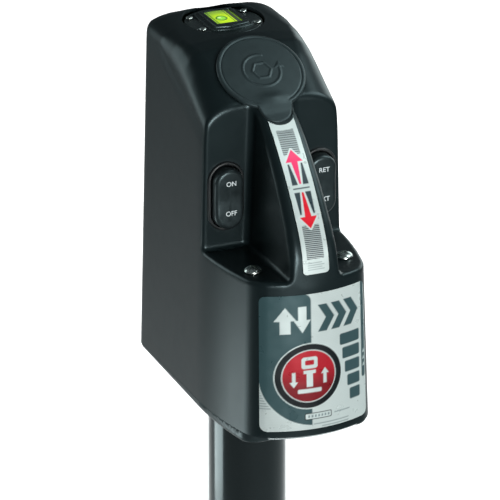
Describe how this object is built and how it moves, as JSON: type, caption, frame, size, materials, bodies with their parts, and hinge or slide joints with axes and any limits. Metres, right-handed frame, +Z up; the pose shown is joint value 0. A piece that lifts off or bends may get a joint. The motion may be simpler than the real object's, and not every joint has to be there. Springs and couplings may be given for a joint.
{
  "type": "electric trailer tongue jack",
  "caption": "Powered A-frame tongue jack: plastic head with rocker switches, level and capped crank socket on a steel tube, screw-driven ram and pinned foot plate.",
  "frame": {"origin": "centre of the foot plate's underside, on the axis of the jack tube", "axes": "+Z up along the tube, -Y towards the front of the head (the labelled face), +X to the right of someone facing the front"},
  "size_m": [0.14, 0.2104, 0.795],
  "materials": {
    "cover_plastic": "fine satin texture",
    "tray_plastic": "fine satin texture",
    "lens_clear": "clear ribbed",
    "board_green": "solder mask",
    "grommet_rubber": "matte",
    "label_film": "silver printed film",
    "level_plastic": "satin",
    "vial_fluid": "yellow-green clear",
    "zinc_screws": "bright zinc",
    "switch_plastic": "satin",
    "rocker_plastic": "satin",
    "cap_rubber": "smooth soft",
    "cast_aluminium": "as cast",
    "steel_plate": "mill",
    "motor_paint": "satin black",
    "module_plastic": "moulded",
    "breaker_plastic": "moulded",
    "black_paint": "gloss black",
    "bush_nylon": "natural",
    "bearing_steel": "ground",
    "gear_steel": "machined",
    "copper_winding": "enamelled wire",
    "zinc_plate": "zinc plated",
    "nut_bronze": "machined"
  },
  "bodies": {
    "jack_body": {"housing_cover": "cover_plastic", "base_tray": "tray_plastic", "light_lens": "lens_clear", "light_board": "board_green", "power_grommet": "grommet_rubber", "front_label": "label_film", "strip_label": "label_film", "level_bezel": "level_plastic", "level_vial": "vial_fluid", "level_screw_1": "zinc_screws", "level_screw_2": "zinc_screws", "level_screw_3": "zinc_screws", "level_screw_4": "zinc_screws", "cover_screw_left": "zinc_screws", "cover_screw_right": "zinc_screws", "light_switch_body": "switch_plastic", "drive_switch_body": "switch_plastic", "gear_case": "cast_aluminium", "gear_case_lid": "cast_aluminium", "head_plate": "steel_plate", "motor_can": "motor_paint", "motor_end_bell": "cast_aluminium", "control_module": "module_plastic", "circuit_breaker": "breaker_plastic", "outer_tube": "black_paint", "a_frame_flange": "black_paint", "guide_bush": "bush_nylon", "thrust_race_lower": "bearing_steel", "thrust_ball_cage": "bearing_steel"},
    "motor_rotor": {"motor_shaft": "gear_steel", "motor_pinion": "gear_steel", "motor_armature": "copper_winding"},
    "idler_cluster": {"crank_shaft": "zinc_plate", "idler_gear": "gear_steel", "idler_pinion": "gear_steel"},
    "screw_assembly": {"lead_screw": "gear_steel", "output_gear": "gear_steel", "thrust_race_upper": "bearing_steel"},
    "ram_assembly": {"ram_tube": "zinc_plate", "screw_nut": "nut_bronze", "foot_plate": "zinc_plate", "foot_pin": "zinc_plate", "hairpin_clip": "zinc_plate"},
    "light_button": {"light_rocker": "rocker_plastic"},
    "drive_button": {"drive_rocker": "rocker_plastic"},
    "cap": {"crank_cap": "cap_rubber"}
  },
  "joints": [
    {"name": "motor_spin", "type": "hinge", "parent": "jack_body", "child": "motor_rotor", "pos_m": [0, -0.06313, 0.59], "axis": [0, 0, 1], "range_deg": [0, 288982]},
    {"name": "idler_spin", "type": "hinge", "parent": "jack_body", "child": "idler_cluster", "pos_m": [0, -0.03, 0.64], "axis": [0, 0, 1], "range_deg": [-75686, 0]},
    {"name": "screw_spin", "type": "hinge", "parent": "jack_body", "child": "screw_assembly", "pos_m": [0, 0, 0.63], "axis": [0, 0, 1], "range_deg": [0, 25230]},
    {"name": "ram_slide", "type": "slide", "parent": "jack_body", "child": "ram_assembly", "axis": [0, 0, -1], "range_m": [0, 0.356]},
    {"name": "light_rocker_tilt", "type": "hinge", "parent": "jack_body", "child": "light_button", "pos_m": [-0.0355, -0.043, 0.6945], "axis": [1, 0, 0], "range_deg": [-7, 7]},
    {"name": "drive_rocker_tilt", "type": "hinge", "parent": "jack_body", "child": "drive_button", "pos_m": [0.0355, -0.043, 0.6945], "axis": [1, 0, 0], "range_deg": [-7, 7], "stiffness_Nm_per_rad": 0.4},
    {"name": "crank_cap_pull", "type": "slide", "parent": "jack_body", "child": "cap", "axis": [0, -0.5592, 0.829], "range_m": [0, 0.1]}
  ],
  "couplings": [
    {"joint": "motor_spin", "follows": "ram_slide", "rad_per_m": 14168},
    {"joint": "idler_spin", "follows": "ram_slide", "rad_per_m": -3710.5},
    {"joint": "screw_spin", "follows": "ram_slide", "rad_per_m": 1236.8}
  ]
}
